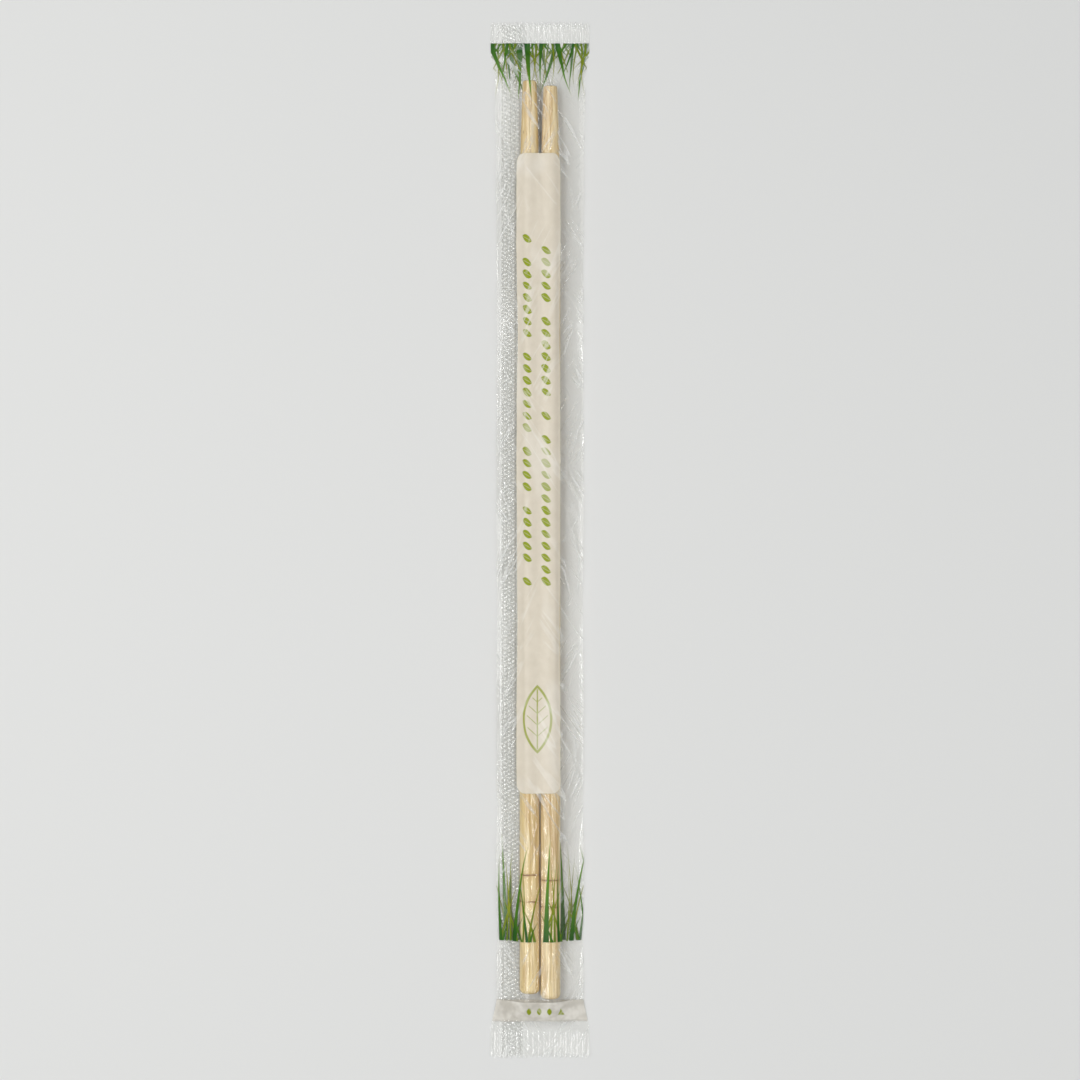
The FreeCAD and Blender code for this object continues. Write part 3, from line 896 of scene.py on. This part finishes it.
def film_web(fit):
    """The sleeve's web: a flat grid folded round the pair, welded at its fin and its ends."""
    rows = web_rows(fit)
    front, back = draped(rows, fit)
    flat_across = np.linspace(-1, 1, FRONT_COLUMNS + 1) * fit.flat_half
    across, along = np.meshgrid(flat_across, rows)
    marks = crumple(front, across, along, fit)

    seal_share = eased((np.abs(rows) - fit.tube_end) / (0.6 * MM))[:, None]
    last_row = (np.abs(rows) >= fit.sleeve_end - 1e-7)[:, None]
    tooth_step = np.arange(FRONT_COLUMNS + 1) % TOOTH_COLUMNS / TOOTH_COLUMNS
    rib = np.abs(tooth_step - 0.5) * 2
    # Whitens the seals, most on the rib crests, and the cut edge: the seal's own frosting, with
    # painted highlight on the rib crests and along the cut edge
    marks = marks + seal_share * (0.35 * rib + 0.2) + last_row
    clear_sticks(front, rows, fit)
    weld(front, back, across, along, seal_share, last_row, rib, fit)

    web, place, column, row = new_grid("film_web", COLUMNS, len(rows) - 1)
    on_front = (column >= ROOT_COLUMN) & (column <= ROOT_COLUMN + FRONT_COLUMNS)
    front_step = np.clip(column - ROOT_COLUMN, 0, FRONT_COLUMNS)
    past_front = column - ROOT_COLUMN - FRONT_COLUMNS
    before_front = FRONT_COLUMNS - ROOT_COLUMN + column
    back_step = np.where(column > ROOT_COLUMN, past_front, before_front) % (FRONT_COLUMNS + 1)
    step = np.where(on_front, front_step, back_step)
    place[:, ::2] = np.where(on_front[:, None], front[row, front_step], back[row, back_step])
    seal_run = np.clip((np.abs(rows) - fit.tube_end) / SEAL_LENGTH, 0, 1)
    cut = np.sign(rows)[row] * seal_run[row] * TOOTH_DEPTH * rib[step]
    place[:, 1] = rows[row] - cut
    shape_grid(web, place, np.where(on_front, marks[row, front_step], 0))

    edit(web)
    bpy.ops.mesh.select_all(action="SELECT")
    bpy.ops.mesh.remove_doubles(threshold=WELD_REACH)
    bpy.ops.mesh.normals_make_consistent(inside=False)
    close_edit(60)
    finish = clear_film("printed_film", on_web=True, shine=0.03, haze=0.012, waviness=1)
    web.data.materials.append(finish)
    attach(web, "root")
    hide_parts("film_sleeve")


def film_fin(fit):
    """The web's two edges, pressed together with a knurl and folded flat under the pair."""
    rows = round(2 * fit.sleeve_end / KNURL_PITCH) * KNOB_STEPS
    fin, place, column, row = new_grid("film_fin", FIN_COLUMNS, rows)
    # A knob stands on every fourth column and row, and every other line of knobs is shifted
    half = KNOB_STEPS / 2
    shifted = row + half * (np.rint(column / KNOB_STEPS) % 2)
    off_column = np.abs((column + half) % KNOB_STEPS - half) / half
    off_row = np.abs((shifted + half) % KNOB_STEPS - half) / half
    knob = np.clip(1 - np.maximum(off_column, off_row), 0, 1)
    place[:, 0] = FIN_EDGES[0] + (FIN_EDGES[1] - FIN_EDGES[0]) * (place[:, 0] + 0.5)
    place[:, 1] *= 2 * (fit.sleeve_end - TOOTH_DEPTH)
    place[:, 2] = FIN_FLOOR_GAP + FIN_FILM + KNURL_HEIGHT * knob
    # Painted glints: the knobs' tops are painted white, brightest at their peaks
    shape_grid(fin, place, 2.7 * knob**1.5)
    wall = fin.modifiers.new("wall", "SOLIDIFY")
    wall.thickness = FIN_FILM
    wall.offset = -1
    bpy.ops.object.modifier_apply(modifier="wall")
    edit(fin)
    close_edit(60)
    finish = clear_film("knurled_film", on_web=False, shine=0.08, haze=0.04, waviness=0.1)
    fin.data.materials.append(finish)
    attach(fin, "root")


def lamp(name, place, size, power):
    """A soft lamp aimed at the middle of the pair, its first size about along the sticks."""
    bpy.ops.object.light_add(type="AREA", location=place)
    light = bpy.context.object
    light.name = name
    light.data.shape = "RECTANGLE"
    light.data.size, light.data.size_y = size
    light.data.energy = power
    light.rotation_euler = (-light.location).to_track_quat("-Z", "Y").to_euler()


def pale_floor():
    """A pale matt floor, which far from the pair takes the backdrop's even tone."""
    sheet = Sheet(bpy.data.materials.new("pale_floor"))
    inputs = {"Base Color": colour(*FLOOR_TONE), "Roughness": 0.8, "Specular IOR Level": 0.2}
    ground = sheet.add("ShaderNodeBsdfPrincipled", None, inputs)
    glow = sheet.add("ShaderNodeEmission", None, {"Color": BACKDROP, "Strength": 1})
    across, along, _ = sheet.parts(sheet.place())
    far = ((across * across + along * along) ** 0.5).ramp(*FLOOR_FADE)
    inputs = {0: far * sheet.background_share(), 1: ground, 2: glow}
    return sheet.finish(sheet.add("ShaderNodeMixShader", None, inputs))


def sky():
    """An even sky, which looks as pale as the floor but gives less light."""
    world = bpy.data.worlds.new("sky")
    bpy.context.scene.world = world
    sheet = Sheet(world)
    tint = sheet.mixed(sheet.background_share(), SKY_LIGHT, BACKDROP)
    dome = sheet.add("ShaderNodeBackground", None, {"Color": tint, "Strength": 1})
    sheet.finish(dome, "ShaderNodeOutputWorld")


def studio():
    """The pale floor, the lamps, the sky and the camera over the pair."""
    bpy.ops.object.select_all(action="DESELECT")
    bpy.ops.mesh.primitive_plane_add(size=FLOOR_SIZE)
    floor = bpy.context.object
    floor.name = "floor"
    floor.data.materials.append(pale_floor())

    lamp("key_lamp", (-0.5, 0.05, 0.75), (1.0, 0.7), 4.9)
    lamp("fill_lamp", (0.7, -0.3, 0.7), (0.8, 0.8), 2.6)
    lamp("strip_lamp", (0.22, 0.05, 0.9), (0.6, 0.05), 1.0)
    lamp("edge_lamp", (-0.3, -0.1, 0.85), (0.5, 0.03), 0.7)
    sky()

    bpy.ops.object.camera_add(location=(0, 0, VIEW_HEIGHT * LENS / SENSOR))
    camera = bpy.context.object
    camera.data.lens = LENS
    camera.data.sensor_width = SENSOR
    bpy.context.scene.camera = camera
    bpy.context.scene.view_settings.view_transform = "Standard"


chopstick("stick_left", "chopstick_left", LEFT_TONES)
chopstick("stick_right", "chopstick_right", RIGHT_TONES)
fit = measures()
film_web(fit)
film_fin(fit)
studio()
